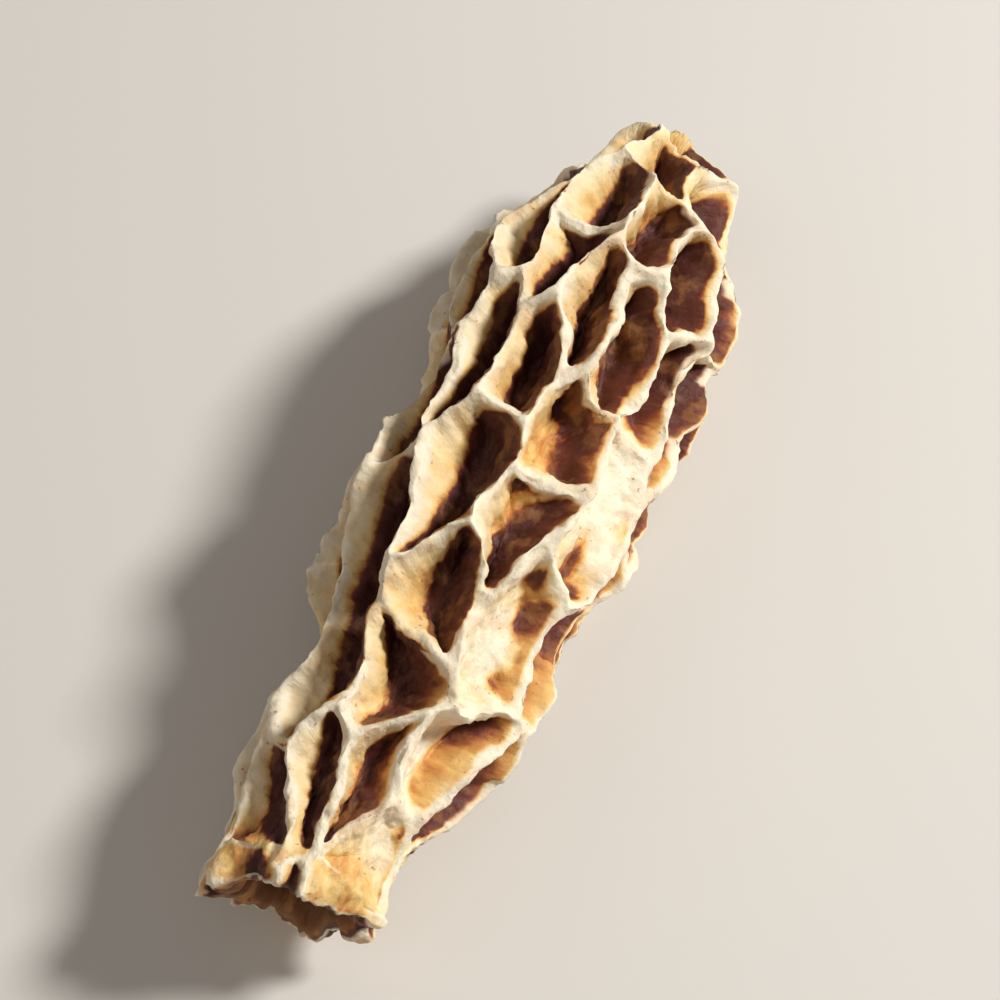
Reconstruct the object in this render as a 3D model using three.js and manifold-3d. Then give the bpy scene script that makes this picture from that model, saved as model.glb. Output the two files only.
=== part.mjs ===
// A dried morel: cap and short cut stem, grown as one hollow piece, lying on its side.
// Millimetres. +X runs from the cut stem to the tip, +Z is up, and the origin is on the surface
// that the piece lies on, under the middle of it.

import * as THREE from "three";
import { ConvexHull } from "three/addons/math/ConvexHull.js";
import { ImprovedNoise } from "three/addons/math/ImprovedNoise.js";
import { mergeVertices } from "three/addons/utils/BufferGeometryUtils.js";
import Module from "manifold-3d";

// Outline of the cap over the ridges, from the tip to the lower margin: distance from the cut
// stem, and radius.
const CAP_OUTLINE = [
  [39.9, 0],
  [39.4, 1.5],
  [38.1, 2.8],
  [36.0, 4.1],
  [33.0, 5.35],
  [29.5, 6.1],
  [25, 6.15],
  [20.5, 6.0],
  [16.5, 6.2],
  [13, 5.65],
  [10, 4.95],
  [7, 4.5],
  [4.5, 4.15],
  [2.8, 3.85],
  [1.1, 3.65],
];
const MARGIN = 1.1; // distance from the cut to the cap's lower margin
const MARGIN_COLATITUDE = THREE.MathUtils.degToRad(168); // where the margin is on the seed sphere
const TIP_COLATITUDE = THREE.MathUtils.degToRad(37); // nearer the tip, ridges follow great circles

// Outside of the stem, from under the margin to the cut: distance from the cut, and radius.
const STEM_OUTLINE = [
  [0.7, 3.4],
  [0.3, 3.3],
  [0, 3.2],
];
const STEM_RIB = 0.38; // how far the ribs that run on from the ridges stand out or, between them, sink
const RIB_VARIETY = { size: 0.95, grain: 1.9 }; // share by which some ribs are higher and some lower
const RIB_FADE = 3; // distance from the cut where those ribs have faded inside the hollow
const LIP_LOBE = 0.2; // how much farther the lip reaches at a rib
const CUT_SLANT = 0.6; // how far the cut leans along the stem, each side of its middle
const CUT_SLANT_SIDE = 100; // degrees round from the top where the stem was cut shortest
const CUT_WAVE = { depth: 0.3, count: 3, turn: 1 }; // slow waves of the lip along the stem

// The hollow, from the cut to its blind end: distance from the cut, and radius. It is wide at the
// mouth, where the stem is a thin shell, and narrow inside the cap.
const HOLLOW_OUTLINE = [
  [0.1, 2.4],
  [0.9, 2.2],
  [2.2, 2.05],
  [4, 1.95],
  [12, 1.9],
  [22, 1.95],
  [31, 1.7],
];
const HOLLOW_END = 33.5;

// Pits on the upper face: distance from the cut, and degrees round the axis from the top.
const FACE_PITS = [
  [39.0, 40],
  [36.9, 12],
  [36.5, -38],
  [36.2, 62],
  [33.4, -50],
  [33.2, -9],
  [32.6, 20],
  [31.8, 72],
  [30.2, 45],
  [30.0, -34],
  [29.0, -11],
  [28.4, -76],
  [26.8, -50],
  [26.7, 7],
  [26.2, 26],
  [26.2, 78],
  [25.6, 57],
  [24.0, -25],
  [24.2, -5],
  [22.4, -76],
  [21.4, -46],
  [21.0, 20],
  [19.4, 58],
  [17.6, -9],
  [17.2, 20],
  [16.4, -72],
  [14.2, -37],
  [14.6, 84],
  [12.2, 6],
  [11.8, 46],
  [10.2, -74],
  [8.6, 3],
  [7.0, -38],
  [6.4, 52],
  [5.2, 84],
  [4.4, 16],
  [4.0, -12],
  [3.2, -74],
  [2.9, -42],
  [2.8, 52],
];

// Rows of pits on the rest of the cap: distance from the cut, and how many in the row.
const BACK_ROWS = [
  [38.9, 2],
  [36.3, 4],
  [32.6, 4],
  [28.2, 5],
  [22.6, 5],
  [17, 5],
  [11.6, 4],
  [6.8, 4],
  [3.1, 4],
];
const BACK_START = 90; // degrees round from the top
const BACK_SECTOR = 186; // degrees that those rows fill
const ROW_SHIFTS = [0.3, 0.7]; // shares of a pit's spacing, by turns, so that the rows are staggered
const ROW_GAP = 5; // about what is between those rows
const ROW_JITTER = 0.14; // share of a pit's spacing
const JITTER_SEED = 41;

// Swells and, below zero, dents of the whole wall: distance from the cut, degrees, and height.
const SWELLS = [
  [4.7, -80, 0.5],
  [9.8, -84, -1],
  [17.4, -84, 0.5],
  [21.6, -84, -0.8],
  [30.4, -84, 0.6],
  [3.8, 96, -0.7],
  [8.7, 84, 0.85],
  [15, 92, -0.85],
  [20.4, 90, 0.3],
  [12, 170, -0.5],
  [26, -150, 0.4],
];

// Stretches where the pits stayed shallow: distance from the cut, degrees, and share of depth lost.
const SHALLOWS = [
  [12.2, 46, 0.45],
  [17.8, 66, 0.6],
  [21.8, 64, 0.6],
];
const BUMP_REACH = 2.3; // along the axis, of a swell or a shallow stretch
const BUMP_SPREAD = 34; // degrees round it

// Ridges and pits
const RIDGE_STEP = 0.9; // distance between points along a ridge
const MARGIN_STEP = 0.5; // and along the margin, from which the stem's folds run down
const MARGIN_ZONE = 1; // a ridge lies along the margin if both its ends are this near to it
const CROSS_RIDGE_DIP = 0.8; // how far a ridge across the cap sinks midway
const LONG_RIDGE_DIP = 0.1; // and a ridge along it
const FULL_DIP_START = 8; // distance from the cut where ridges sink that far
const MARGIN_DIP = 0.45; // share of that at the margin, so that folds run down over it between the ribs
const PIT_DEPTH = 2.7;
const LEAST_PIT_DEPTH = 0.35;
const NARROW_DEPTH = { base: 0.6, perHalfWidth: 1.8 }; // the most that a narrow pit is deep
const LEAST_WALL = 0.7; // flesh between the hollow and a pit's floor
const PIT_RINGS = [
  // mm in from the ridge's crest line, the farthest share of the way to the pit's middle, and the
  // share of the pit's depth
  { inset: 0.27, farthest: 0.32, depth: 0.1 },
  { inset: 0.48, farthest: 0.46, depth: 0.58 },
  { inset: 0.95, farthest: 0.64, depth: 0.95 },
];

// Shape that drying gives
const CURL = { size: 0.95, grain: 2.7, depth: 1.9 }; // sideways wander of the ridges, down to a depth
const MARGIN_CURL = 0.15; // share of that wander at the stem
const STIFF_END = 2; // nearer the cut than this the wall dried straight
const FREE_START = 9; // beyond this it dried freely
const SAG = { size: 0.4, grain: 5.5 }; // slow wander of the whole wall
const BEND_START = 4;
const BEND_END = 12;
const SIDE_BEND = -0.35; // of the cap's axis against the stem's
const DROOP = -0.5; // at the tip
const UNDERSIDE = -4.75; // below this the flesh was pressed flat as it dried
const PRESS_SHARE = 0.35;
const REST_CUT = -5.0; // crests are worn level here, where the piece rests

const FLESH = { color: 0xd8b888, roughness: 0.86, metalness: 0 };

const meridian = new THREE.SplineCurve(CAP_OUTLINE.map(([x, r]) => new THREE.Vector2(x, r)));
meridian.arcLengthDivisions = 600;
const noise = new ImprovedNoise();

/** A smooth random vector, up to about 1 long each way, that changes over one grain. */
function wander(point, grain) {
  const { x, y, z } = point.clone().divideScalar(grain);
  return new THREE.Vector3(
    noise.noise(x + 3.7, y + 9.2, z + 1.3),
    noise.noise(y + 31.4, z + 12.7, x + 5.1),
    noise.noise(z + 71.2, x + 40.6, y + 22.9),
  );
}

/** Seeded random numbers from 0 to 1. */
function randomFrom(seed) {
  let state = seed;
  return () => {
    state = (state + 0x6d2b79f5) | 0;
    let mixed = Math.imul(state ^ (state >>> 15), 1 | state);
    mixed = (mixed + Math.imul(mixed ^ (mixed >>> 7), 61 | mixed)) ^ mixed;
    return ((mixed ^ (mixed >>> 14)) >>> 0) / 4294967296;
  };
}

/** The value of an outline of [distance, value] pairs at a distance, straight between its points. */
function along(outline, distance) {
  const rising = [...outline].sort((a, b) => a[0] - b[0]);
  const after = rising.findIndex(([x]) => x > distance);
  if (after === -1) return rising.at(-1)[1];
  if (after === 0) return rising[0][1];
  const [[x0, v0], [x1, v1]] = [rising[after - 1], rising[after]];
  return THREE.MathUtils.lerp(v0, v1, (distance - x0) / (x1 - x0));
}

/** An angle in degrees brought between -180 and 180. */
const wrapped = (degrees) => THREE.MathUtils.euclideanModulo(degrees + 180, 360) - 180;

/** Unit vector away from the axis, at an angle from the top. */
const outward = (angle) => new THREE.Vector3(0, -Math.sin(angle), Math.cos(angle));

/** The axis of the piece: straight in the stem, with a bend between stem and cap, and drooping. */
function axisAt(x) {
  const bend = THREE.MathUtils.smoothstep(x, BEND_START, BEND_END);
  const droop = (Math.max(0, x - BEND_END) / (CAP_OUTLINE[0][0] - BEND_END)) ** 2;
  return new THREE.Vector3(x, SIDE_BEND * bend, DROOP * droop);
}

/** The sum of soft bumps, each [distance, degrees, height], at a distance and an angle. */
function bumps(list, x, angle) {
  return list.reduce((sum, [middle, degrees, height]) => {
    const away = wrapped(THREE.MathUtils.radToDeg(angle) - degrees) / BUMP_SPREAD;
    return sum + height * Math.exp(-(((x - middle) / BUMP_REACH) ** 2) - away ** 2);
  }, 0);
}

/** The point at a distance along the axis, an angle round it and a radius from it. */
function placed(x, angle, radius) {
  return axisAt(x).addScaledVector(outward(angle), radius);
}

/** Colatitude from the tip, and angle from the top, of a direction on the seed sphere. */
function polar(direction) {
  const colatitude = Math.acos(THREE.MathUtils.clamp(direction.x, -1, 1));
  return { colatitude, angle: Math.atan2(-direction.y, direction.z) };
}

/** The direction on the seed sphere at a colatitude and an angle. */
function directionAt(colatitude, angle) {
  return outward(angle).multiplyScalar(Math.sin(colatitude)).setX(Math.cos(colatitude));
}

/** The shorter turn from one angle to another. */
function turnBetween(from, to) {
  return THREE.MathUtils.euclideanModulo(to - from + Math.PI, 2 * Math.PI) - Math.PI;
}

/** The direction a share of the way from one to another, evenly round and along the cap. */
function between(from, to, share) {
  const [start, end] = [polar(from), polar(to)];
  if (Math.min(start.colatitude, end.colatitude) < TIP_COLATITUDE) {
    return from.clone().lerp(to, share).normalize();
  }
  const colatitude = THREE.MathUtils.lerp(start.colatitude, end.colatitude, share);
  return directionAt(colatitude, start.angle + turnBetween(start.angle, end.angle) * share);
}

/** The cap's outer surface where a direction of the seed sphere falls on it. */
function onCap(direction) {
  const { colatitude, angle } = polar(direction);
  const share = Math.min(1, colatitude / MARGIN_COLATITUDE);
  const { x, y } = meridian.getPointAt(share);
  const radius = y + bumps(SWELLS, x, angle) * THREE.MathUtils.smoothstep(y, 0, 3);
  const run = meridian.getTangentAt(share);
  const normal = outward(angle).multiplyScalar(-run.x).add(new THREE.Vector3(run.y, 0, 0));
  return { point: placed(x, angle, radius), normal: normal.normalize(), x, angle, radius };
}

/** The point at a depth under a place on the cap. */
const under = ({ point, normal }, depth) => point.clone().addScaledVector(normal, -depth);

/** The direction on the seed sphere of a pit's middle. */
function seedAt(x, degrees) {
  let [low, high] = [0, 1];
  for (let halving = 0; halving < 30; halving++) {
    const share = (low + high) / 2;
    if (meridian.getPointAt(share).x > x) low = share;
    else high = share;
  }
  return directionAt(low * MARGIN_COLATITUDE, THREE.MathUtils.degToRad(degrees));
}

/** One seed for each pit, and last the one that the stem grows from. */
function pitSeeds() {
  const random = randomFrom(JITTER_SEED);
  const jitter = () => (random() - 0.5) * 2 * ROW_JITTER;
  const seeds = FACE_PITS.map(([x, degrees]) => seedAt(x, degrees));
  BACK_ROWS.forEach(([x, count], row) => {
    const spacing = BACK_SECTOR / count;
    const shift = ROW_SHIFTS[row % ROW_SHIFTS.length];
    for (let place = 0; place < count; place++) {
      const degrees = BACK_START + (place + shift + jitter()) * spacing;
      seeds.push(seedAt(x + jitter() * ROW_GAP, degrees));
    }
  });
  return [...seeds, new THREE.Vector3(-1, 0, 0)];
}

/** The Voronoi cell of each seed: its seed, and its corners anticlockwise as seen from outside. */
function cellsRound(seeds) {
  const hull = new ConvexHull().setFromPoints(seeds);
  hull.faces.forEach((face, index) => (face.corner = { index, direction: face.normal.clone() }));
  const cells = new Map();
  for (const face of hull.faces) {
    let edge = face.edge;
    do {
      const seed = edge.head().point;
      if (!cells.has(seed)) cells.set(seed, cornersRound(edge));
      edge = edge.next;
    } while (edge !== face.edge);
  }
  return seeds.map((seed) => ({ seed, corners: cells.get(seed) }));
}

/** The corners that surround the seed at an edge's head. */
function cornersRound(start) {
  const corners = [];
  let edge = start;
  do {
    corners.unshift(edge.face.corner);
    edge = edge.next.twin;
  } while (edge !== start);
  return corners;
}

/** Collects points and triangles, and gives them back as one indexed geometry. */
class Skin {
  points = [];
  triangles = [];

  add(point) {
    return this.points.push(point) - 1;
  }

  addRing(points) {
    return points.map((point) => this.add(point));
  }

  /** Joins two rings of as many points each, with every quad split along its shorter diagonal. */
  joinRings(outer, inner) {
    outer.forEach((a, i) => {
      const next = (i + 1) % outer.length;
      const [b, c, d] = [outer[next], inner[next], inner[i]];
      const [pa, pb, pc, pd] = [a, b, c, d].map((index) => this.points[index]);
      if (pa.distanceTo(pc) < pb.distanceTo(pd)) this.triangles.push(a, b, c, a, c, d);
      else this.triangles.push(a, b, d, b, c, d);
    });
  }

  closeRing(ring, middle) {
    ring.forEach((a, i) => this.triangles.push(a, ring[(i + 1) % ring.length], middle));
  }

  geometry() {
    const geometry = new THREE.BufferGeometry().setFromPoints(this.points);
    return geometry.setIndex(this.triangles);
  }
}

/** Where a point under the crests ends: the whole wall sags, and the less deep, the more it curls. */
function dried(point, depth) {
  const free = THREE.MathUtils.smoothstep(point.x, STIFF_END, FREE_START);
  const shallow = Math.max(0, 1 - depth / CURL.depth);
  const curl = CURL.size * shallow * THREE.MathUtils.lerp(MARGIN_CURL, 1, free);
  const moved = point
    .clone()
    .addScaledVector(wander(point, SAG.grain), SAG.size * free)
    .addScaledVector(wander(point, CURL.grain), curl);
  if (moved.z < UNDERSIDE) moved.z = UNDERSIDE + (moved.z - UNDERSIDE) * PRESS_SHARE;
  return moved;
}

/** The crest line between two corners, without the second corner, as directions and dips. */
function ridgeBetween(from, to) {
  const [low, high] = from.index < to.index ? [from, to] : [to, from];
  const [start, end] = [low, high].map((corner) => onCap(corner.direction));
  const length = start.point.distanceTo(end.point);
  const lengthwise = Math.abs(end.point.x - start.point.x) / length;
  const fullDip = THREE.MathUtils.lerp(CROSS_RIDGE_DIP, LONG_RIDGE_DIP, lengthwise);
  const inward = THREE.MathUtils.smoothstep(start.x, MARGIN, FULL_DIP_START);
  const dip = fullDip * THREE.MathUtils.lerp(MARGIN_DIP, 1, inward);
  const alongMargin = Math.max(start.x, end.x) < MARGIN + MARGIN_ZONE;
  const steps = Math.max(1, Math.round(length / (alongMargin ? MARGIN_STEP : RIDGE_STEP)));
  const samples = [];
  for (let step = 0; step < steps; step++) {
    const t = step / steps;
    const share = from === low ? t : 1 - t;
    const direction = between(low.direction, high.direction, share);
    samples.push({
      key: step === 0 ? `${from.index}` : `${low.index}-${high.index}-${share.toFixed(4)}`,
      share,
      direction,
      surface: onCap(direction),
      dip: dip * Math.sin(Math.PI * share),
    });
  }
  return samples;
}

/** How deep a pit's floor may go below the crest, so that enough flesh is left round the hollow. */
function floorDepth({ x, radius }) {
  const besideHollow = radius - along(HOLLOW_OUTLINE, x) - LEAST_WALL;
  const beyondHollow = (CAP_OUTLINE[0][0] - HOLLOW_END) / 2;
  const room = x > HOLLOW_END - LEAST_WALL ? beyondHollow : besideHollow;
  return THREE.MathUtils.clamp(room, LEAST_PIT_DEPTH, PIT_DEPTH);
}

/** Adds the crest line round a cell. Neighbouring cells share its points by their keys. */
function addCrest(skin, samples, shared) {
  return samples.map(({ key, surface, dip }) => {
    if (!shared.has(key)) shared.set(key, skin.add(dried(under(surface, dip), dip)));
    return shared.get(key);
  });
}

/** How far a pit's middle is from the line of its rim at each sample. */
function halfWidths(samples, middle) {
  const count = samples.length;
  return samples.map(({ surface }, i) => {
    const before = samples[(i + count - 1) % count].surface.point;
    const after = samples[(i + 1) % count].surface.point;
    const line = after.clone().sub(before).normalize();
    const away = middle.point.clone().sub(surface.point);
    return away.addScaledVector(line, -away.dot(line)).length();
  });
}

/** Adds one pit inside its crest line: shoulder, sloping walls and a floor. */
function addPit(skin, seed, samples, crest) {
  const middle = onCap(seed);
  const widths = halfWidths(samples, middle);
  const most = NARROW_DEPTH.base + NARROW_DEPTH.perHalfWidth * Math.min(...widths);
  const depthAt = (surface) => {
    const lost = bumps(SHALLOWS, surface.x, surface.angle);
    return Math.max(LEAST_PIT_DEPTH, Math.min(most, floorDepth(surface)) * (1 - lost));
  };
  let outer = crest;
  for (const { inset, farthest, depth } of PIT_RINGS) {
    const inner = skin.addRing(
      samples.map(({ direction, dip }, i) => {
        const share = Math.min(inset / widths[i], farthest);
        const surface = onCap(between(direction, seed, share));
        const drop = THREE.MathUtils.lerp(dip, Math.max(dip, depthAt(surface)), depth);
        return dried(under(surface, drop), drop);
      }),
    );
    skin.joinRings(outer, inner);
    outer = inner;
  }
  skin.closeRing(outer, skin.add(dried(under(middle, depthAt(middle)), depthAt(middle))));
}

/** Adds the stem and the hollow inside the crest line of the cap's lower margin. */
function addStem(skin, samples, crest) {
  const count = samples.length;
  const firstAngle = samples[0].surface.angle;
  const angles = samples.map(({ surface, share }, i) => {
    const even = firstAngle - (i * 2 * Math.PI) / count;
    const height = 1 + RIB_VARIETY.size * wander(surface.point, RIB_VARIETY.grain).x;
    return { even, off: turnBetween(even, surface.angle), rib: height * Math.cos(2 * Math.PI * share) };
  });
  const slantSide = THREE.MathUtils.degToRad(CUT_SLANT_SIDE);
  const ringAt = (x, radius, evenness, folds) =>
    skin.addRing(
      angles.map(({ even, off, rib }) => {
        const angle = even + off * (1 - evenness);
        const fold = folds * STEM_RIB * rib;
        const wave = CUT_WAVE.depth * Math.cos(CUT_WAVE.count * angle + CUT_WAVE.turn);
        const lean = CUT_SLANT * Math.cos(angle - slantSide) + wave - LIP_LOBE * rib;
        const shift = lean * Math.max(0, 1 - x / MARGIN);
        return dried(placed(x + shift, angle, radius + fold), CURL.depth);
      }),
    );
  let outer = crest;
  STEM_OUTLINE.forEach(([x, radius], i) => {
    const ring = ringAt(x, radius, (i + 1) / STEM_OUTLINE.length, 1);
    skin.joinRings(outer, ring);
    outer = ring;
  });
  HOLLOW_OUTLINE.forEach(([x, radius]) => {
    const ring = ringAt(x, radius, 1, 1 - THREE.MathUtils.smoothstep(x, 0, RIB_FADE));
    skin.joinRings(outer, ring);
    outer = ring;
  });
  skin.closeRing(outer, skin.add(dried(axisAt(HOLLOW_END), CURL.depth)));
}

/** The whole skin of the morel, outside and hollow, as one closed surface. */
function morelSkin() {
  const skin = new Skin();
  const shared = new Map();
  const cells = cellsRound(pitSeeds());
  cells.forEach(({ seed, corners }, index) => {
    const samples = corners.flatMap((corner, i) => ridgeBetween(corner, corners[(i + 1) % corners.length]));
    const crest = addCrest(skin, samples, shared);
    if (index === cells.length - 1) addStem(skin, samples, crest);
    else addPit(skin, seed, samples, crest);
  });
  return skin.geometry();
}

/** A geometry as a manifold-3d solid. */
function solidOf(geometry, wasm) {
  const bare = new THREE.BufferGeometry().setAttribute("position", geometry.getAttribute("position"));
  const merged = mergeVertices(bare.setIndex(geometry.index), 1e-4);
  const mesh = new wasm.Mesh({
    numProp: 3,
    vertProperties: merged.attributes.position.array,
    triVerts: new Uint32Array(merged.index.array),
  });
  return new wasm.Manifold(mesh);
}

/** A manifold-3d solid as a geometry. */
function geometryOf(solid) {
  const { vertProperties, triVerts } = solid.getMesh();
  const geometry = new THREE.BufferGeometry();
  geometry.setAttribute("position", new THREE.BufferAttribute(vertProperties, 3));
  return geometry.setIndex(new THREE.BufferAttribute(triVerts, 1));
}

/** The skin with the crests that it rests on worn level. */
function wornLevel(geometry, wasm) {
  const reach = 100;
  const surface = new THREE.BoxGeometry(reach, reach, reach).translate(0, 0, REST_CUT - reach / 2);
  return geometryOf(solidOf(geometry, wasm).subtract(solidOf(surface, wasm)));
}

const wasm = await Module();
wasm.setup();

const flesh = wornLevel(morelSkin(), wasm);
flesh.computeVertexNormals();
flesh.computeBoundingBox();
const { min, max } = flesh.boundingBox;

const morel = new THREE.Mesh(flesh, new THREE.MeshStandardMaterial(FLESH));
morel.name = "morel";
morel.position.set(-(min.x + max.x) / 2, -(min.y + max.y) / 2, -min.z);

const group = new THREE.Group();
group.add(morel);

export default group;
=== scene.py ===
"""Dresses the dried morel: its finely wrinkled flesh, its colours with painted shadow and painted light among
them, and the light it lies in.
"""

from __future__ import annotations

import logging
import math
from dataclasses import dataclass, field
from enum import Enum
from typing import Any, Iterable, Union

import bmesh
import bpy
import numpy as np
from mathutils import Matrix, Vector, noise
from mathutils.bvhtree import BVHTree


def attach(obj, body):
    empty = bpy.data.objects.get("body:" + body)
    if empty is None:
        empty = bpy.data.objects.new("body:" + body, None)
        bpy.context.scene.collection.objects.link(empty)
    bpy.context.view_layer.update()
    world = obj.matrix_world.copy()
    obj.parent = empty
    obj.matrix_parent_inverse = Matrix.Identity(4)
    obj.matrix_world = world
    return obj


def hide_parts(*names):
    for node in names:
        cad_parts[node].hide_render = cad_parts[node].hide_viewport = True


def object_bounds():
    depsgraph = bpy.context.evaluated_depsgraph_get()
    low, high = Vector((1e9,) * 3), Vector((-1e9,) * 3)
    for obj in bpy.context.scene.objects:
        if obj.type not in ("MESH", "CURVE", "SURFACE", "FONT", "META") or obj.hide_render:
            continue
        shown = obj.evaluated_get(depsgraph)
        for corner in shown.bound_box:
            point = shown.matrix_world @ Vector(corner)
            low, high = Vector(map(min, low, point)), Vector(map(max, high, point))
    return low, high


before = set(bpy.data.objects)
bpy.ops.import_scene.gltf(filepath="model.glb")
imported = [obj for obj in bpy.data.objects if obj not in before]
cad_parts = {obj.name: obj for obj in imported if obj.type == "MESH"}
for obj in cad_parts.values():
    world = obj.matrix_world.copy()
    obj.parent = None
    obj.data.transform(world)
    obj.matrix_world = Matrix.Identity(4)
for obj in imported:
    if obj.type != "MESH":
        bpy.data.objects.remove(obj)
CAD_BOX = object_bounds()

log = logging.getLogger("morel")

MM = 0.001
CREASE = "crease_edge"
SPOKE = "spoke"

Colour = tuple[float, float, float]
Step = tuple[float, float]
Value = Union["Socket", float]


def linear(red: int, green: int, blue: int) -> Colour:
    """The linear colour of three 8-bit display values.

    Args:
        red: 0 to 255.
        green: 0 to 255.
        blue: 0 to 255.

    Returns:
        The colour as the renderer wants it.
    """
    toe_end, toe_slope, offset, power = 0.04045, 12.92, 0.055, 2.4
    shares = (value / 255 for value in (red, green, blue))
    return tuple(
        share / toe_slope if share <= toe_end else ((share + offset) / (1 + offset)) ** power
        for share in shares
    )


def smoothstep(values: np.ndarray, low: float, high: float) -> np.ndarray:
    """Values eased from 0 at low to 1 at high.

    Args:
        values: Any numbers.
        low: Where the step starts.
        high: Where it ends.

    Returns:
        The eased values.
    """
    share = np.clip((values - low) / (high - low), 0, 1)
    return share * share * (3 - 2 * share)


def vectors_of(mesh: bpy.types.Mesh, name: str) -> np.ndarray:
    """Vertex places or normals as rows of three.

    Args:
        mesh: The mesh to read.
        name: "co" or "normal".

    Returns:
        An array of as many rows as the mesh has vertices.
    """
    values = np.empty(len(mesh.vertices) * 3)
    mesh.vertices.foreach_get(name, values)
    return values.reshape(-1, 3)


def direction(turn: float, height: float) -> Vector:
    """A unit vector away from the morel.

    Args:
        turn: Degrees round the upright, from -Y towards +X.
        height: Degrees above the level.

    Returns:
        The vector.
    """
    turn, height = math.radians(turn), math.radians(height)
    return Vector((math.sin(turn) * math.cos(height), -math.cos(turn) * math.cos(height), math.sin(height)))


def stand_off(thing: bpy.types.Object, target: Vector, toward: Vector, distance: float) -> None:
    """Puts a light or a camera away from its target, facing it.

    Args:
        thing: The light or camera.
        target: What it faces.
        toward: The unit vector from the target to it.
        distance: How far away it is.
    """
    thing.location = target + toward * distance
    thing.rotation_euler = (-toward).to_track_quat("-Z", "Y").to_euler()
    bpy.context.scene.collection.objects.link(thing)


class Mark(Enum):
    """What is written on the vertices of the flesh, for its material to read."""

    DEPTH = "pit_depth"
    CREST = "crest"
    # Painted shadow: where the ridge beside a vertex would shade it from a lamp on one fixed hand.
    LEE = "painted_shadow"
    # How open a vertex is; the material paints shade in the closed corners from it.
    OPEN = "openness"
    STEM = "stem"
    HOLLOW = "hollow"
    # Real brown stains near the stem, and painted light that pales the flank facing the key lamp.
    STAIN = "stain_and_painted_light"


@dataclass(frozen=True)
class Axis:
    """The line that the morel grew round, in millimetres of the frame."""

    cut: float = -19.5
    length: float = 40.0
    stem_side: float = 0.35
    bend: float = 0.35
    bend_start: float = 4.0
    bend_end: float = 12.0
    height: float = 5.0
    droop: float = 0.5
    girth: float = 5.5

    def _across(self, places: np.ndarray) -> tuple[np.ndarray, np.ndarray]:
        """Steps from the line to places.

        Args:
            places: Points, in millimetres.

        Returns:
            The steps sideways, and the steps up.
        """
        along = places[:, 0] - self.cut
        side = self.stem_side - self.bend * smoothstep(along, self.bend_start, self.bend_end)
        share = np.clip((along - self.bend_end) / (self.length - self.bend_end), 0, 1)
        return places[:, 1] - side, places[:, 2] - self.height + self.droop * share**2

    def radii(self, places: np.ndarray) -> np.ndarray:
        """Distances of places from the line."""
        return np.hypot(*self._across(places))

    def angles(self, places: np.ndarray) -> np.ndarray:
        """Angles of places round the line, from the top and towards -Y."""
        side, height = self._across(places)
        return np.arctan2(-side, height)

    def spokes(self, places: np.ndarray) -> np.ndarray:
        """Places brought to one radius, so that a pattern on them runs down the walls of the pits.

        Args:
            places: Points, in millimetres.

        Returns:
            The same points, moved straight away from the line or towards it.
        """
        angles = self.angles(places)
        across = (-np.sin(angles) * self.girth, np.cos(angles) * self.girth)
        return np.column_stack((places[:, 0], *across))

    def frames(self, places: np.ndarray) -> tuple[np.ndarray, np.ndarray]:
        """Unit vectors at places, as the line sees them.

        Args:
            places: Points, in millimetres.

        Returns:
            The vectors away from the line, and those round it, which at the top are towards -Y.
        """
        angles = self.angles(places)
        level = np.zeros(len(places))
        outward = np.column_stack((level, -np.sin(angles), np.cos(angles)))
        return outward, np.column_stack((level, -np.cos(angles), -np.sin(angles)))


@dataclass
class Envelope:
    """The smooth hull over the ridges, as radii on a grid along and round the axis."""

    axis: Axis
    rows: int = 64
    turns: int = 56
    row_reach: int = 4
    turn_reach: int = 2
    smoothing: int = 6
    last_row_gap: float = 0.001
    radii: np.ndarray = field(init=False)
    start: float = field(init=False)
    length: float = field(init=False)

    def fit(self, places: np.ndarray) -> None:
        """Fits the hull over places.

        Args:
            places: Points of the flesh, in millimetres.
        """
        self.start = float(places[:, 0].min())
        self.length = float(np.ptp(places[:, 0]))
        row, turn = self._cells(places)
        grid = np.zeros((self.rows, self.turns))
        np.maximum.at(grid, (row.astype(int), turn.astype(int) % self.turns), self.axis.radii(places))
        grid = self._widened(grid)
        for _ in range(self.smoothing):
            padded = np.pad(grid, ((1, 1), (0, 0)), mode="edge")
            along = (padded[:-2] + padded[2:]) / 2
            around = (np.roll(grid, 1, axis=1) + np.roll(grid, -1, axis=1)) / 2
            grid = grid / 2 + along / 4 + around / 4
        self.radii = grid

    def _widened(self, grid: np.ndarray) -> np.ndarray:
        """The largest radius within reach of each cell.

        Args:
            grid: Radii, a row for each step along the axis.

        Returns:
            A grid of the same size.
        """
        widest = grid.copy()
        padded = np.pad(grid, ((self.row_reach, self.row_reach), (0, 0)), mode="edge")
        for first in range(2 * self.row_reach + 1):
            rows = padded[first : first + self.rows]
            for turn in range(-self.turn_reach, self.turn_reach + 1):
                widest = np.maximum(widest, np.roll(rows, turn, axis=1))
        return widest

    def _cells(self, places: np.ndarray) -> tuple[np.ndarray, np.ndarray]:
        """Where places lie on the grid.

        Args:
            places: Points, in millimetres.

        Returns:
            Their rows, kept short of the last one, and their turns, both with fractions.
        """
        row = (places[:, 0] - self.start) / self.length * (self.rows - 1)
        turn = (self.axis.angles(places) / (2 * math.pi) + 0.5) * self.turns
        return np.clip(row, 0, self.rows - 1 - self.last_row_gap), turn

    def over(self, places: np.ndarray) -> np.ndarray:
        """The hull's radius over each place.

        Args:
            places: Points, in millimetres.

        Returns:
            One radius for each.
        """
        row, turn = self._cells(places)
        low_row = row.astype(int)
        low_turn = np.floor(turn).astype(int)
        across, around = row - low_row, turn - low_turn
        this_turn, next_turn = low_turn % self.turns, (low_turn + 1) % self.turns
        rows = (self.radii[low_row], self.radii[low_row + 1])
        index = np.arange(len(places))
        near, far = (row[index, this_turn] * (1 - around) + row[index, next_turn] * around for row in rows)
        return near * (1 - across) + far * across


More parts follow.
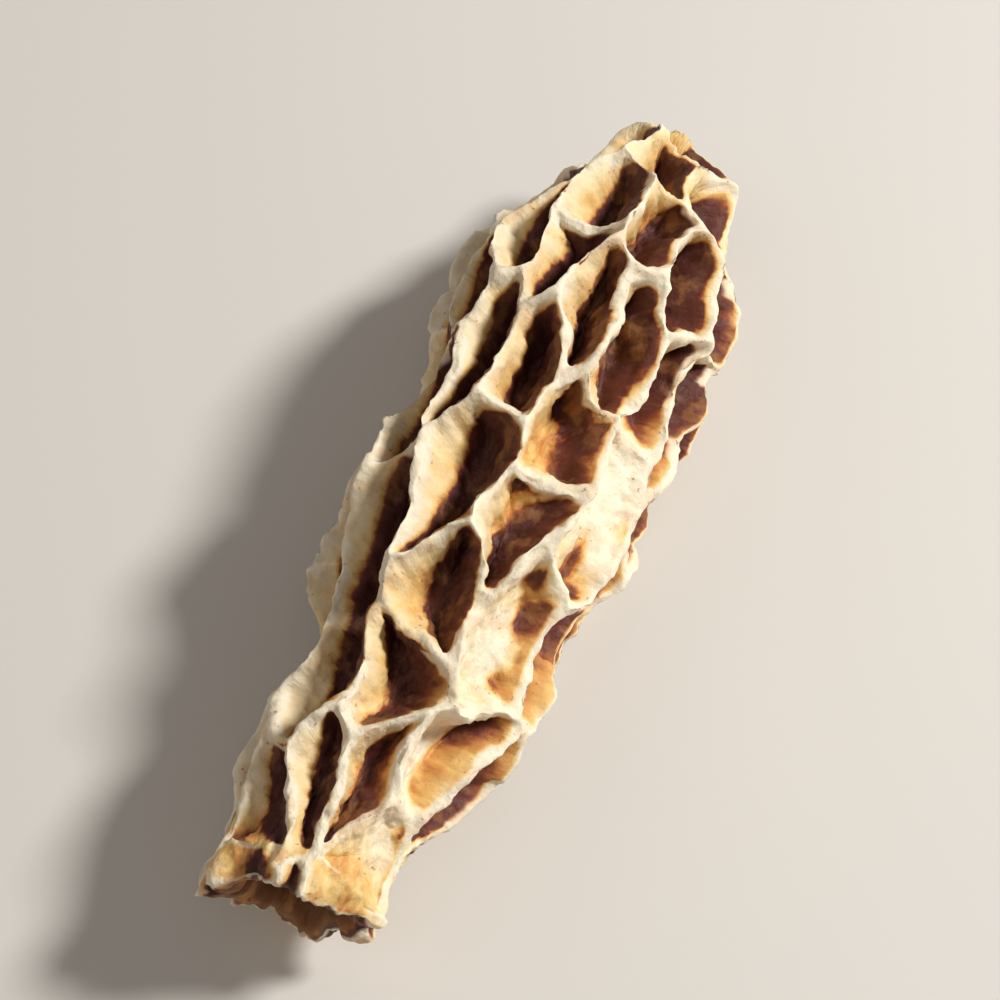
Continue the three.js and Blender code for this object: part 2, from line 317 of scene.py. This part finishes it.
@dataclass(frozen=True)
class Patch:
    """A soft patch of the skin: its middle along and round the axis, its size and its strength."""

    along: float
    degrees: float
    reach: float
    spread: float
    strength: float

    def over(self, along: np.ndarray, degrees: np.ndarray) -> np.ndarray:
        """The patch's strength at distances from the cut and degrees round the axis."""
        away = (degrees - self.degrees + 180) % 360 - 180
        return self.strength * np.exp(-(((along - self.along) / self.reach) ** 2) - (away / self.spread) ** 2)


@dataclass(frozen=True)
class Shelter:
    """How far the ridges shelter the skin, found with rays, in millimetres and radians: from one fixed hand
    for painted shadow, and from all round for painted shade in the corners.
    """

    axis: Axis
    sight: float = 7.0
    lift: float = 0.03
    dome_rays: int = 20
    height: float = math.radians(46)
    fall: float = math.radians(36)
    rise: float = math.radians(14)
    front: float = math.radians(11)
    swing: float = math.radians(14)
    fan: float = math.radians(4)
    fan_heights: tuple[float, ...] = (-1.5, -0.5, 0.5, 1.5)
    fan_swings: tuple[float, ...] = (-1, 1)

    def painted_shadow(self, mesh: bpy.types.Mesh, tree: BVHTree) -> np.ndarray:
        """How far each vertex lies in the painted shadow of the ridge beside it, always cast from the same
        hand, as a fixed lamp would cast it.

        Args:
            mesh: The smooth mesh, in millimetres.
            tree: The same mesh, for sending rays.

        Returns:
            The share of a small fan of rays that is blocked, at each vertex.
        """
        places = vectors_of(mesh, "co")
        outward, turnwise = self.axis.frames(places)
        ahead = np.array((1.0, 0, 0))
        # The painted lamp stands higher over the flank that faces the key lamp and lower over the other.
        turned = self.axis.angles(places) - self.front
        lower, higher = self.fall * np.sin(turned), self.rise * np.sin(2 * turned)
        heights = self.height + np.where(np.sin(turned) < 0, lower, higher)
        result = np.zeros(len(places))
        steps = [(up, aside) for up in self.fan_heights for aside in self.fan_swings]
        for up, aside in steps:
            height = (heights + up * self.fan)[:, None]
            swing = self.swing + aside * self.fan
            level = turnwise * math.cos(swing) + ahead * math.sin(swing)
            rays = level * np.cos(height) + outward * np.sin(height)
            for index, vert in enumerate(mesh.vertices):
                ray = Vector(rays[index])
                origin = vert.co + vert.normal * self.lift
                if vert.normal.dot(ray) < 0 or tree.ray_cast(origin, ray, self.sight)[0]:
                    result[index] += 1 / len(steps)
        return result

    def openness(self, mesh: bpy.types.Mesh, tree: BVHTree) -> np.ndarray:
        """How much of the way out is free at each vertex; the material paints shade in the closed corners
        from it.

        Args:
            mesh: The smooth mesh, in millimetres.
            tree: The same mesh, for sending rays.

        Returns:
            The free share of a dome of rays, at each vertex.
        """
        dome = self._dome()
        result = np.empty(len(mesh.vertices))
        for index, vert in enumerate(mesh.vertices):
            normal = vert.normal
            side = normal.orthogonal().normalized()
            other = normal.cross(side)
            origin = vert.co + normal * self.lift
            blocked = 0.0
            for x, y, z in dome:
                reached = tree.ray_cast(origin, side * x + other * y + normal * z, self.sight)[3]
                if reached is not None:
                    blocked += 1 - reached / self.sight
            result[index] = 1 - blocked / self.dome_rays
        return result

    def _dome(self) -> list[tuple[float, float, float]]:
        """Rays spread evenly over a half sphere.

        Returns:
            Unit vectors with Z away from the skin.
        """
        golden_turn = math.pi * (3 - math.sqrt(5))
        dome = []
        for ray in range(self.dome_rays):
            lift = math.sqrt(1 - (ray + 0.5) / self.dome_rays)
            turn = golden_turn * ray
            across = math.sqrt(1 - lift * lift)
            dome.append((across * math.cos(turn), across * math.sin(turn), lift))
        return dome


@dataclass(frozen=True)
class Spot:
    """One place on the skin, in millimetres, and what was measured there."""

    place: Vector
    spoke: Vector
    crest: float
    stem: float
    hollow: float


@dataclass(frozen=True)
class Wrinkles:
    """The fine folds of the skin: sizes in millimetres, and scales in folds per millimetre."""

    seed: int = 7
    ruffle: float = 0.17
    ruffle_scale: float = 0.95
    frill: float = 0.1
    frill_scale: float = 2.6
    frill_on_walls: float = 0.3
    nibble: float = 0.2
    nibble_scale: float = 1.3
    nibble_start: float = 0.1
    nibble_shift: tuple[float, ...] = (9, 2, 5)
    thinning: float = 0.07
    thinning_starts: Step = (0.15, 0.5)
    thinning_ends: Step = (1.0, 1.9)
    pleat: float = 0.3
    pleat_scale: float = 1.15
    pleat_on_crests: float = 0.25
    crumple: float = 0.12
    crumple_scale: float = 0.8
    vein: float = 0.09
    vein_scale: float = 0.85
    vein_sharpness: float = 4.0
    stem_wrinkle: float = 0.2
    stem_scales: tuple[float, ...] = (0.35, 1.1, 1.1)
    stem_roughness: float = 0.9
    stem_step: float = 2.1
    stem_octaves: int = 3
    crease_back: float = 0.3
    crease_small: float = 0.45
    crease_step: float = 2.3
    crease_shift: tuple[float, ...] = (4, 8, 1)

    def press(self, mesh: bpy.types.Mesh, marks: dict[Mark, np.ndarray], spokes: np.ndarray) -> None:
        """Ruffles the crests, and wrinkles the walls, the floors and the stem.

        Args:
            mesh: The smooth mesh, in millimetres, changed in place.
            marks: What was measured on it, with the depths in millimetres.
            spokes: Its vertices, brought to one radius.
        """
        places = vectors_of(mesh, "co")
        normals = vectors_of(mesh, "normal")
        thinned = self._thinned(marks)
        moved = places.copy()
        noise.seed_set(self.seed)
        for index, place in enumerate(places):
            crest, stem, hollow = (
                float(marks[mark][index]) for mark in (Mark.CREST, Mark.STEM, Mark.HOLLOW)
            )
            spot = Spot(Vector(place), Vector(spokes[index]), crest, stem, hollow)
            outward = self._outward(spot) - self.thinning * thinned[index]
            moved[index] = spot.place + self._sideways(spot) + Vector(normals[index]) * outward
        mesh.vertices.foreach_set("co", moved.ravel())
        mesh.update()

    def _thinned(self, marks: dict[Mark, np.ndarray]) -> np.ndarray:
        """The upper walls of the ridges, which are drawn in.

        Args:
            marks: What was measured on the mesh, with the depths in millimetres.

        Returns:
            Shares from 0 to 1, at each vertex.
        """
        depths = marks[Mark.DEPTH]
        upper = smoothstep(depths, *self.thinning_starts) * (1 - smoothstep(depths, *self.thinning_ends))
        return upper * ((1 - marks[Mark.HOLLOW]) * (1 - marks[Mark.STEM]))

    def _sideways(self, spot: Spot) -> Vector:
        """How far the skin is shifted, any way, most of all along the crests.

        Args:
            spot: Where.

        Returns:
            The shift, in millimetres.
        """
        ruffles = noise.noise_vector(spot.place * self.ruffle_scale) * self.ruffle * spot.crest
        share = self.frill_on_walls + (1 - self.frill_on_walls) * spot.crest
        frills = noise.noise_vector(spot.place * self.frill_scale) * self.frill * share * (1 - spot.hollow)
        return ruffles + frills

    def _outward(self, spot: Spot) -> float:
        """How far the skin stands out.

        Args:
            spot: Where.

        Returns:
            The height of all the folds together, in millimetres.
        """
        wall, outside = 1 - spot.crest, 1 - spot.hollow
        bitten = noise.noise(spot.spoke * self.nibble_scale + Vector(self.nibble_shift)) - self.nibble_start
        bite = max(0.0, bitten) * self.nibble * spot.crest
        share = self.pleat_on_crests + (1 - self.pleat_on_crests) * wall
        pleats = self._creases(spot.spoke, self.pleat_scale) * self.pleat * share * (1 - spot.stem)
        crumples = self._creases(spot.place, self.crumple_scale) * self.crumple * outside
        cells = noise.voronoi(spot.place * self.vein_scale, distance_metric="DISTANCE")[0]
        border = max(0.0, 1 - (cells[1] - cells[0]) * self.vein_sharpness)
        veins = self.vein * border * wall * outside
        drawn = Vector([part * scale for part, scale in zip(spot.spoke, self.stem_scales)])
        long_folds = noise.fractal(drawn, self.stem_roughness, self.stem_step, self.stem_octaves)
        return pleats + crumples + veins + long_folds * self.stem_wrinkle * spot.stem - bite

    def _creases(self, place: Vector, scale: float) -> float:
        """Folds with sharp backs, about 0, of two sizes.

        Args:
            place: Where, in millimetres.
            scale: Folds per millimetre of the larger size.

        Returns:
            How far the skin stands out, up to about 0.5 each way.
        """
        large = self.crease_back - abs(noise.noise(place * scale))
        finer = place * scale * self.crease_step + Vector(self.crease_shift)
        small = self.crease_back - abs(noise.noise(finer))
        return large + self.crease_small * small


class Socket:
    """A node's output on which sums are written as Python expressions."""

    def __init__(self, graph: Graph, output: bpy.types.NodeSocket) -> None:
        """Wraps one output of a graph."""
        self.graph = graph
        self.output = output

    def _math(self, operation: str, *values: Value) -> Socket:
        """One Math node on values."""
        return self.graph.node("ShaderNodeMath", {"operation": operation}, dict(enumerate(values)))

    def __add__(self, other: Value) -> Socket:
        """Sum."""
        return self._math("ADD", self, other)

    def __radd__(self, other: Value) -> Socket:
        """Sum, with the number first."""
        return self._math("ADD", other, self)

    def __sub__(self, other: Value) -> Socket:
        """Difference."""
        return self._math("SUBTRACT", self, other)

    def __rsub__(self, other: Value) -> Socket:
        """Difference, with the number first."""
        return self._math("SUBTRACT", other, self)

    def __mul__(self, other: Value) -> Socket:
        """Product."""
        return self._math("MULTIPLY", self, other)

    def __rmul__(self, other: Value) -> Socket:
        """Product, with the number first."""
        return self._math("MULTIPLY", other, self)

    def eased(self, low: float, high: float) -> Socket:
        """Eased from 0 at low to 1 at high."""
        settings = {"interpolation_type": "SMOOTHSTEP"}
        return self.graph.node("ShaderNodeMapRange", settings, {"Value": self, 1: low, 2: high})

    def clamped(self) -> Socket:
        """Kept between 0 and 1."""
        return self.graph.node("ShaderNodeClamp", {}, {"Value": self})


class Graph:
    """The node tree of one material."""

    def __init__(self, name: str) -> None:
        """Starts a material with no nodes.

        Args:
            name: The material's name.
        """
        self.material = bpy.data.materials.new(name)
        self.material.use_nodes = True
        self.tree = self.material.node_tree
        self.tree.nodes.clear()

    def node(
        self, kind: str, settings: dict[str, Any], values: dict[Union[str, int], Any], output: Any = 0
    ) -> Socket:
        """Adds one node.

        Args:
            kind: The node's type.
            settings: Its own settings, set first. The key "stops" fills a ramp.
            values: Values or links for its sockets, by name or number.
            output: Which of its outputs to give back.

        Returns:
            That output, wrapped.
        """
        made = self.tree.nodes.new(kind)
        for key, setting in settings.items():
            if key == "stops":
                self._fill(made.color_ramp, setting)
            else:
                setattr(made, key, setting)
        for key, value in values.items():
            target = made.inputs[key]
            if isinstance(value, Socket):
                self.tree.links.new(value.output, target)
            elif isinstance(value, tuple) and target.type == "RGBA":
                target.default_value = (*value, 1)
            else:
                target.default_value = value
        return Socket(self, made.outputs[output])

    def _fill(self, ramp: bpy.types.ColorRamp, stops: Iterable[tuple[float, Colour]]) -> None:
        """Sets a ramp's stops.

        Args:
            ramp: A new ramp, which already has its first stop and its last.
            stops: Places and colours: the first, the last, and then those between.
        """
        for number, (place, colour) in enumerate(stops):
            element = ramp.elements[number] if number < 2 else ramp.elements.new(place)
            element.position = place
            element.color = (*colour, 1)

    def finished(self, shader: Socket) -> bpy.types.Material:
        """Joins the shader to the material's output.

        Args:
            shader: The whole look of the surface.

        Returns:
            The material.
        """
        output = self.tree.nodes.new("ShaderNodeOutputMaterial")
        self.tree.links.new(shader.output, output.inputs["Surface"])
        return self.material

    def attribute(self, mark: Mark) -> Socket:
        """A mark of the mesh."""
        return self.node("ShaderNodeAttribute", {"attribute_name": mark.value}, {}, "Fac")

    def mix(self, share: Value, under: Any, over: Any) -> Socket:
        """Two colours mixed by a share of the second."""
        settings = {"data_type": "RGBA"}
        return self.node("ShaderNodeMix", settings, {"Factor": share, 6: under, 7: over}, 2)

    def speckle(self, place: Socket, scale: float, detail: float) -> Socket:
        """Noise on coordinates, about 0.

        Args:
            place: The coordinates, in metres.
            scale: Grains per metre.
            detail: Octaves.

        Returns:
            The noise, from about -0.5 to 0.5.
        """
        grains = self.node("ShaderNodeTexNoise", {}, {"Vector": place, "Scale": scale, "Detail": detail})
        return grains - 0.5


@dataclass(frozen=True)
class Grains:
    """The noises that the colours and the relief of the flesh are made of."""

    cloud: Socket
    blotch: Socket
    fine: Socket
    streak: Socket
    crinkle: Socket


@dataclass(frozen=True)
class DryFlesh:
    """Dried morel flesh: pale ridges and cream walls, and pits darkened partly by their own brown and partly
    by painted shadow, with a crisp, wavy border.
    """

    edge: Colour = linear(253, 240, 214)
    cream: Colour = linear(253, 223, 168)
    yellow: Colour = linear(240, 200, 126)
    gold: Colour = linear(214, 152, 86)
    russet: Colour = linear(150, 82, 50)
    maroon: Colour = linear(104, 52, 42)
    deep: Colour = linear(80, 40, 36)
    speck: Colour = linear(104, 64, 46)
    tan: Colour = linear(176, 126, 84)
    cream_at: float = 0.3
    yellow_at: float = 0.44
    gold_at: float = 0.58
    russet_at: float = 0.67
    maroon_at: float = 0.74

    cloud_scale: float = 240
    blotch_scale: float = 850
    fine_scale: float = 4500
    streak_scale: float = 1500
    crinkle_scale: float = 1100
    cloud_detail: float = 3
    detail: float = 5

    # How much each mark darkens the colour: the lee and the closed corners as painted shade, the depth as the
    # pits' own brown with painted shade in it.
    depth_brown_and_shade: float = 0.52
    stem_fold_darkening: float = 1.5
    painted_shadow_share: float = 0.85
    corner_painted_shade: float = 0.35
    crest_youth: float = 0.3
    full_darkness: float = 1.4
    cloud_border: float = 0.5
    blotch_border: float = 0.3
    streak_border: float = 0.6
    below_hull: Step = (-0.06, 0.06)
    on_crest: Step = (0.5, 0.95)

    rim: float = 0.9
    rim_crest: Step = (0.62, 0.97)
    hollow_tan: float = 0.75
    rub: float = 0.3
    rub_blotch: float = 0.5
    rub_noise: Step = (0.0, 0.3)
    rub_darkness: Step = (0.95, 1.15)
    spots: float = 0.22
    stem_spots: float = 0.4
    spot_cloud: float = 0.6
    spot_noise: Step = (0.02, 0.14)
    specks: float = 0.6
    speck_noise: Step = (0.11, 0.18)
    speck_patches: Step = (0.02, 0.12)

    relief: float = 0.00014
    fine_relief: float = 0.3
    crinkle_relief: float = 0.25
    streak_relief: float = 1.2
    roughness: float = 0.62
    rough_blotch: float = 0.4
    specular: float = 0.35
    glow: float = 0.1
    glow_reach: float = 0.0006
    glow_colour: Colour = (1, 0.55, 0.3)

    def material(self) -> bpy.types.Material:
        """Builds the material.

        Returns:
            The material, ready for a piece that carries the marks.
        """
        graph = Graph("dry_flesh")
        marks = {mark: graph.attribute(mark) for mark in Mark}
        grains = self._grains(graph)
        values = {
            "Base Color": self._colour(graph, marks, grains),
            "Roughness": (self.roughness + grains.blotch * self.rough_blotch).clamped(),
            "Normal": self._bump(graph, grains),
            "Subsurface Weight": self.glow,
            "Subsurface Radius": self.glow_colour,
            "Subsurface Scale": self.glow_reach,
            "Specular IOR Level": self.specular,
        }
        return graph.finished(graph.node("ShaderNodeBsdfPrincipled", {}, values))

    def _grains(self, graph: Graph) -> Grains:
        """Adds the noises.

        Args:
            graph: The material's graph.

        Returns:
            The noises, of which only the streaks run down the walls of the pits.
        """
        place = graph.node("ShaderNodeTexCoord", {}, {}, "Object")
        spoke = graph.node("ShaderNodeAttribute", {"attribute_name": SPOKE}, {}, "Vector")
        ridged = {"noise_type": "RIDGED_MULTIFRACTAL"}
        crinkles = {"Vector": place, "Scale": self.crinkle_scale, "Detail": self.detail}
        return Grains(
            cloud=graph.speckle(place, self.cloud_scale, self.cloud_detail),
            blotch=graph.speckle(place, self.blotch_scale, self.detail),
            fine=graph.speckle(place, self.fine_scale, self.detail),
            streak=graph.speckle(spoke, self.streak_scale, self.detail),
            crinkle=graph.node("ShaderNodeTexNoise", ridged, crinkles),
        )

    def _age(self, marks: dict[Mark, Socket], grains: Grains) -> Socket:
        """How dark the skin is made, by its own brown and by painted shade, most of all in the pits and in
        the painted shadow of a ridge.

        Args:
            marks: The marks of the mesh.
            grains: The noises.

        Returns:
            From below 0 on the crests to full_darkness and above in the darkest, most shaded corners.
        """
        depth = marks[Mark.DEPTH]
        border = grains.cloud * self.cloud_border + grains.blotch * self.blotch_border
        border += grains.streak * self.streak_border
        # Painted shadow on the side of each pit that the ridge beside it would shade.
        shade = marks[Mark.LEE] * depth.eased(*self.below_hull) * self.painted_shadow_share
        folds = marks[Mark.STEM] * depth * self.stem_fold_darkening
        # Painted shade in the closed corners.
        corner_shade = (1 - marks[Mark.OPEN]) * self.corner_painted_shade
        top = marks[Mark.CREST].eased(*self.on_crest) * self.crest_youth
        # The pits' depth darkens them by their own brown and by painted shade together.
        return depth * self.depth_brown_and_shade + folds + shade + corner_shade + border + marks[Mark.STAIN] - top

    def _colour(self, graph: Graph, marks: dict[Mark, Socket], grains: Grains) -> Socket:
        """The colour of the skin, in layers.

        Args:
            graph: The material's graph.
            marks: The marks of the mesh.
            grains: The noises.

        Returns:
            The colour.
        """
        darkness_and_shade = self._age(marks, grains)
        # The darker stops, from russet to deep, carry painted shadow as well as the pits' own brown.
        stops = [
            (0, self.edge),
            (1, self.deep),
            (self.cream_at, self.cream),
            (self.yellow_at, self.yellow),
            (self.gold_at, self.gold),
            (self.russet_at, self.russet),
            (self.maroon_at, self.maroon),
        ]
        walls = graph.node("ShaderNodeValToRGB", {"stops": stops}, {"Fac": darkness_and_shade * (1 / self.full_darkness)})
        rim = (marks[Mark.CREST].eased(*self.rim_crest) * (self.rim + grains.blotch)).clamped()
        rimmed = graph.mix(rim, walls, self.edge)
        lined = graph.mix(marks[Mark.HOLLOW] * self.hollow_tan, rimmed, self.tan)
        rubbed = (grains.streak + grains.blotch * self.rub_blotch).eased(*self.rub_noise)
        mottled = graph.mix(rubbed * darkness_and_shade.eased(*self.rub_darkness) * self.rub, lined, self.tan)
        spotted = (grains.blotch + grains.cloud * self.spot_cloud).eased(*self.spot_noise)
        stained = graph.mix(
            spotted * (self.spots + marks[Mark.STEM] * self.stem_spots), mottled, self.gold
        )
        specked = grains.fine.eased(*self.speck_noise) * grains.blotch.eased(*self.speck_patches)
        return graph.mix(specked * self.specks, stained, self.speck)

    def _bump(self, graph: Graph, grains: Grains) -> Socket:
        """The grain of the skin, too fine for the mesh.

        Args:
            graph: The material's graph.
            grains: The noises.

        Returns:
            The normal.
        """
        relief = grains.fine * self.fine_relief + grains.crinkle * self.crinkle_relief
        relief += grains.streak * self.streak_relief
        values = {"Strength": 1.0, "Distance": self.relief, "Height": relief}
        return graph.node("ShaderNodeBump", {}, values)


@dataclass
class Flesh:
    """The whole morel as one finely wrinkled mesh, shaped from the solid that it replaces."""

    node: str = "morel"
    slot: str = "flesh"
    axis: Axis = field(default_factory=Axis)
    wrinkles: Wrinkles = field(default_factory=Wrinkles)
    finish: DryFlesh = field(default_factory=DryFlesh)
    levels: int = 2
    merge_distance: float = 0.001
    flat_angle: float = math.radians(50)
    shape_angle: float = math.radians(90)
    sharp_angle: float = math.radians(52)
    crest_crease: float = 0.7
    full_depth: float = 2.6
    stem_end: Step = (0.8, 2.8)
    hollow_radii: tuple[tuple[float, float], ...] = ((0, 3.3), (1.2, 3.0), (2.6, 2.6), (4.5, 2.3))
    hollow_edge: Step = (-0.1, 0.1)
    hollow_facing: Step = (0, 0.5)
    sunk_corners: int = 40
    settled_height: float = 1.2
    # Negative strengths are paler flesh on the flank that faces the key lamp, painted light; positive ones
    # are browner stains near the stem.
    stain_and_light_patches: tuple[Patch, ...] = (
        Patch(along=20.5, degrees=66, reach=4.5, spread=24, strength=-0.5),
        Patch(along=12.2, degrees=46, reach=2.6, spread=27, strength=-0.55),
        Patch(along=6.6, degrees=48, reach=2.6, spread=28, strength=-0.95),
        Patch(along=12.0, degrees=86, reach=6.0, spread=15, strength=-0.35),
        Patch(along=3.4, degrees=12, reach=1.8, spread=40, strength=0.16),
        Patch(along=1.0, degrees=-62, reach=1.3, spread=22, strength=0.34),
        Patch(along=0.6, degrees=10, reach=1.0, spread=16, strength=0.3),
        Patch(along=0.8, degrees=58, reach=1.0, spread=20, strength=0.3),
    )

    def build(self) -> bpy.types.Object:
        """Makes the piece and puts it in the place of its solid.

        Returns:
            The finished piece.
        """
        coarse = self._merged()
        envelope = Envelope(self.axis)
        envelope.fit(self._places(coarse))
        self._mark_crests(coarse, envelope)
        mesh = self._subdivided(coarse)
        marks = self._measure(mesh, envelope)
        self.wrinkles.press(mesh, marks, self.axis.spokes(vectors_of(mesh, "co")))
        marks[Mark.DEPTH] /= self.full_depth
        spokes = self.axis.spokes(vectors_of(mesh, "co"))
        self._settle(mesh)
        self._write(mesh, marks, spokes)
        piece = bpy.data.objects.new("morel_flesh", mesh)
        bpy.context.scene.collection.objects.link(piece)
        self._dress(piece)
        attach(piece, "root")
        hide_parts(self.node)
        return piece

    def _merged(self) -> bmesh.types.BMesh:
        """Copies the solid's mesh, with its corners joined and its triangles paired.

        Returns:
            The copy, in millimetres.
        """
        shell = bmesh.new()
        shell.from_mesh(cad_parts[self.node].data)
        bmesh.ops.scale(shell, vec=Vector((1, 1, 1)) / MM, verts=shell.verts)
        bmesh.ops.remove_doubles(shell, verts=shell.verts, dist=self.merge_distance)
        bmesh.ops.join_triangles(
            shell,
            faces=shell.faces,
            angle_face_threshold=self.flat_angle,
            angle_shape_threshold=self.shape_angle,
        )
        return shell

    def _places(self, shell: bmesh.types.BMesh) -> np.ndarray:
        """The corners of a shell, in millimetres."""
        return np.array([vert.co for vert in shell.verts])

    def _mark_crests(self, shell: bmesh.types.BMesh, envelope: Envelope) -> None:
        """Marks the crest lines of the ridges, and keeps them fairly sharp.

        Args:
            shell: The merged shell.
            envelope: The hull over it.
        """
        places = self._places(shell)
        depths = envelope.over(places) - self.axis.radii(places)
        crease = shell.edges.layers.float.new(CREASE)
        crest = shell.verts.layers.float.new(Mark.CREST.value)
        shell.verts.index_update()
        for edge in shell.edges:
            high = all(depths[vert.index] < self.full_depth / 2 for vert in edge.verts)
            if high and edge.calc_face_angle_signed(0) > self.sharp_angle:
                edge[crease] = self.crest_crease
                for vert in edge.verts:
                    vert[crest] = 1

    def _subdivided(self, shell: bmesh.types.BMesh) -> bpy.types.Mesh:
        """Smooths the shell by subdivision.

        Args:
            shell: The merged shell, which is used up.

        Returns:
            The smooth mesh, in millimetres.
        """
        rough = bpy.data.meshes.new("flesh_coarse")
        shell.to_mesh(rough)
        shell.free()
        carrier = bpy.data.objects.new("flesh_coarse", rough)
        bpy.context.scene.collection.objects.link(carrier)
        modifier = carrier.modifiers.new("smooth", "SUBSURF")
        modifier.levels = modifier.render_levels = self.levels
        graph = bpy.context.evaluated_depsgraph_get()
        mesh = bpy.data.meshes.new_from_object(carrier.evaluated_get(graph))
        bpy.data.objects.remove(carrier)
        mesh.name = "morel_flesh"
        return mesh

    def _measure(self, mesh: bpy.types.Mesh, envelope: Envelope) -> dict[Mark, np.ndarray]:
        """Works out what the material and the wrinkles need to know at each vertex.

        Args:
            mesh: The smooth mesh, in millimetres.
            envelope: The hull over the ridges.

        Returns:
            One array for each mark: the depths in millimetres up to full_depth, the stains and painted light
                from -1 to 1, and the others from 0 to 1.
        """
        places = vectors_of(mesh, "co")
        along = places[:, 0] - self.axis.cut
        radii = self.axis.radii(places)
        inner = np.interp(along, *zip(*self.hollow_radii))
        outward = self.axis.frames(places)[0]
        inward = -np.sum(vectors_of(mesh, "normal") * outward, axis=1)
        near_axis = 1 - smoothstep(radii - inner, *self.hollow_edge)
        hollow = near_axis * smoothstep(inward, *self.hollow_facing)
        crest = np.empty(len(places))
        mesh.attributes[Mark.CREST.value].data.foreach_get("value", crest)
        degrees = np.degrees(self.axis.angles(places))
        faces = [tuple(face.vertices) for face in mesh.polygons]
        tree = BVHTree.FromPolygons([Vector(place) for place in places], faces)
        shelter = Shelter(self.axis)
        return {
            Mark.DEPTH: np.clip(envelope.over(places) - radii, 0, self.full_depth),
            Mark.CREST: np.clip(crest, 0, 1) * (1 - hollow),
            Mark.LEE: shelter.painted_shadow(mesh, tree) * (1 - hollow),
            Mark.OPEN: shelter.openness(mesh, tree),
            Mark.STEM: 1 - smoothstep(along, *self.stem_end),
            Mark.HOLLOW: hollow,
            Mark.STAIN: sum(patch.over(along, degrees) for patch in self.stain_and_light_patches),
        }

    def _settle(self, mesh: bpy.types.Mesh) -> None:
        """Brings the mesh to metres, with the worn crests back on the surface it lies on.

        Args:
            mesh: The wrinkled mesh, in millimetres, changed in place.
        """
        places = vectors_of(mesh, "co")
        low, high = (np.array(corner) / MM for corner in CAD_BOX)
        lowest = np.sort(places[:, 2])[self.sunk_corners]
        near_floor = 1 - smoothstep(places[:, 2], lowest, lowest + self.settled_height)
        places[:, 2] -= lowest * near_floor
        places = np.clip(places, low, high)
        mesh.vertices.foreach_set("co", (places * MM).ravel())
        mesh.update()

    def _write(self, mesh: bpy.types.Mesh, marks: dict[Mark, np.ndarray], spokes: np.ndarray) -> None:
        """Writes the marks on the vertices and smooths the shading.

        Args:
            mesh: The finished mesh.
            marks: One array for each mark.
            spokes: The vertices brought to one radius, in millimetres.
        """
        for name in (CREASE, Mark.CREST.value):
            layer = mesh.attributes.get(name)
            if layer is not None:
                mesh.attributes.remove(layer)
        for mark, values in marks.items():
            layer = mesh.attributes.new(mark.value, "FLOAT", "POINT")
            layer.data.foreach_set("value", values.astype(np.float32))
        layer = mesh.attributes.new(SPOKE, "FLOAT_VECTOR", "POINT")
        layer.data.foreach_set("vector", (spokes * MM).astype(np.float32).ravel())
        mesh.polygons.foreach_set("use_smooth", [True] * len(mesh.polygons))

    def _dress(self, piece: bpy.types.Object) -> None:
        """Gives the piece its one material."""
        piece.data.materials.clear()
        piece.data.materials.append(self.finish.material())


@dataclass(frozen=True)
class Lamp:
    """One soft round light, in degrees, metres and watts."""

    name: str
    turn: float
    height: float
    distance: float
    width: float
    power: float
    colour: Colour

    def place(self, target: Vector) -> None:
        """Puts the light in the scene.

        Args:
            target: What it points at.
        """
        data = bpy.data.lights.new(self.name, "AREA")
        data.shape = "DISK"
        data.size = self.width
        data.energy = self.power
        data.color = self.colour
        lamp = bpy.data.objects.new(self.name, data)
        stand_off(lamp, target, direction(self.turn, self.height), self.distance)


@dataclass
class Studio:
    """The pale floor, the light and the camera."""

    floor_colour: Colour = linear(232, 229, 224)
    floor_roughness: float = 0.7
    floor_width: float = 1.6
    sky: float = 0.15
    sky_colour: Colour = (1.0, 0.94, 0.88)
    lamps: tuple[Lamp, ...] = (
        Lamp("key", turn=36, height=42, distance=0.34, width=0.07, power=1.12, colour=(1.0, 0.975, 0.935)),
        Lamp("fill", turn=-150, height=48, distance=0.5, width=0.4, power=0.24, colour=(1.0, 0.86, 0.72)),
        Lamp("top", turn=-66, height=82, distance=0.5, width=0.35, power=0.1, colour=(1.0, 0.97, 0.93)),
    )
    turn: float = -66.0
    height: float = 65.0
    lens: float = 85.0
    distance: float = 0.1
    nearest: float = 0.005
    target: Vector = field(default_factory=lambda: Vector((0.0, 0.0, 0.005)))

    def build(self) -> None:
        """Makes everything but the morel."""
        self._floor()
        self._world()
        for lamp in self.lamps:
            lamp.place(self.target)
        self._camera()

    def _floor(self) -> None:
        """A plain level floor."""
        shell = bmesh.new()
        bmesh.ops.create_grid(shell, x_segments=1, y_segments=1, size=self.floor_width / 2)
        mesh = bpy.data.meshes.new("floor")
        shell.to_mesh(mesh)
        shell.free()
        floor = bpy.data.objects.new("floor", mesh)
        bpy.context.scene.collection.objects.link(floor)
        graph = Graph("pale_floor")
        values = {"Base Color": self.floor_colour, "Roughness": self.floor_roughness}
        mesh.materials.append(graph.finished(graph.node("ShaderNodeBsdfPrincipled", {}, values)))

    def _world(self) -> None:
        """An even pale sky."""
        world = bpy.data.worlds.new("sky")
        world.use_nodes = True
        background = world.node_tree.nodes["Background"]
        background.inputs["Color"].default_value = (*self.sky_colour, 1)
        background.inputs["Strength"].default_value = self.sky
        bpy.context.scene.world = world
        bpy.context.scene.view_settings.view_transform = "Standard"

    def _camera(self) -> None:
        """A camera that looks down on the morel as the photograph shows it."""
        data = bpy.data.cameras.new("camera")
        data.lens = self.lens
        data.clip_start = self.nearest
        camera = bpy.data.objects.new("camera", data)
        stand_off(camera, self.target, direction(self.turn, self.height), self.distance)
        bpy.context.scene.camera = camera


def main() -> None:
    """Builds the morel and the studio round it."""
    logging.basicConfig(level=logging.INFO, format="%(name)s: %(message)s")
    piece = Flesh().build()
    piece.data.calc_loop_triangles()
    log.info("%s: %d triangles", piece.name, len(piece.data.loop_triangles))
    Studio().build()


if __name__ == "__main__":
    main()
